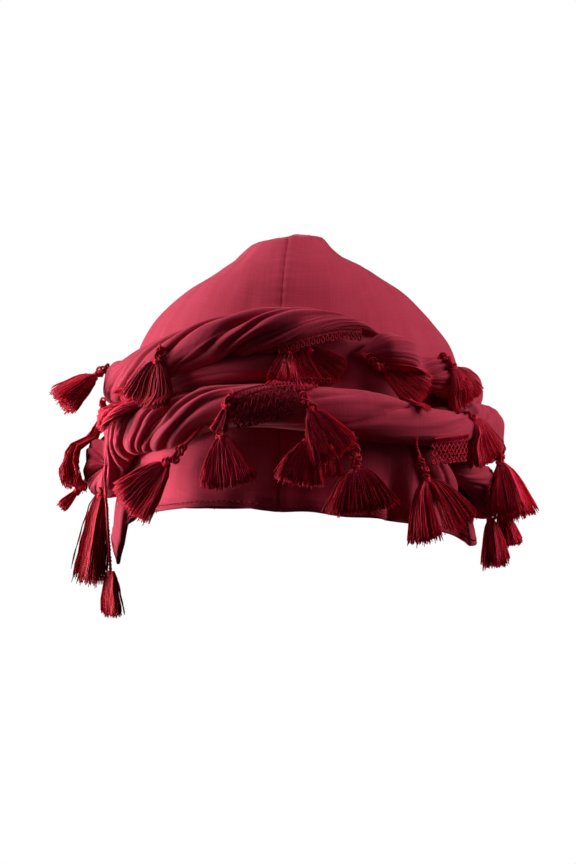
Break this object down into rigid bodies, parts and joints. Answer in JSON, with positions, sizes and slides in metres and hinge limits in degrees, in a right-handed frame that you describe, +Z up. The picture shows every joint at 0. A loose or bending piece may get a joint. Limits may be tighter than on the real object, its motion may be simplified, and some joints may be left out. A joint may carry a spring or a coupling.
{
  "type": "turban",
  "caption": "Ready-wound cloth turban: a soft two-panel crown with a twisted scarf round it, edged with crocheted net and thread tassels, open below for the head.",
  "frame": {"origin": "middle of the head opening, level with the front rim, where the turban sits on the brow", "axes": "+Z up as worn, the front faces -Y, +X is the wearer's left"},
  "size_m": [0.2388, 0.2575, 0.1836],
  "materials": {
    "cloth": "matt burgundy slub cloth",
    "net": "dark crimson crocheted thread",
    "tassel_thread": "silky crimson thread"
  },
  "bodies": {
    "root": {"crown_left": "cloth", "crown_right": "cloth", "upper_wrap": "cloth", "lower_wrap": "cloth", "nape_wrap": "cloth", "end_fold": "cloth", "net_border_front": "net", "net_border_right": "net", "net_border_top": "net", "tassel_01": "tassel_thread", "tassel_02": "tassel_thread", "tassel_03": "tassel_thread", "tassel_04": "tassel_thread", "tassel_05": "tassel_thread", "tassel_06": "tassel_thread", "tassel_07": "tassel_thread", "tassel_08": "tassel_thread", "tassel_09": "tassel_thread", "tassel_10": "tassel_thread", "tassel_11": "tassel_thread", "tassel_12": "tassel_thread", "tassel_13": "tassel_thread", "tassel_14": "tassel_thread", "tassel_15": "tassel_thread", "tassel_16": "tassel_thread", "tassel_17": "tassel_thread", "tassel_18": "tassel_thread", "tassel_19": "tassel_thread", "tassel_20": "tassel_thread", "tassel_21": "tassel_thread", "tassel_22": "tassel_thread", "tassel_23": "tassel_thread", "tassel_24": "tassel_thread", "tassel_25": "tassel_thread", "tassel_26": "tassel_thread", "tassel_27": "tassel_thread", "tassel_28": "tassel_thread", "tassel_29": "tassel_thread", "tassel_30": "tassel_thread", "tassel_31": "tassel_thread", "tassel_32": "tassel_thread", "tassel_33": "tassel_thread", "tassel_34": "tassel_thread", "tassel_35": "tassel_thread"}
  },
  "joints": []
}
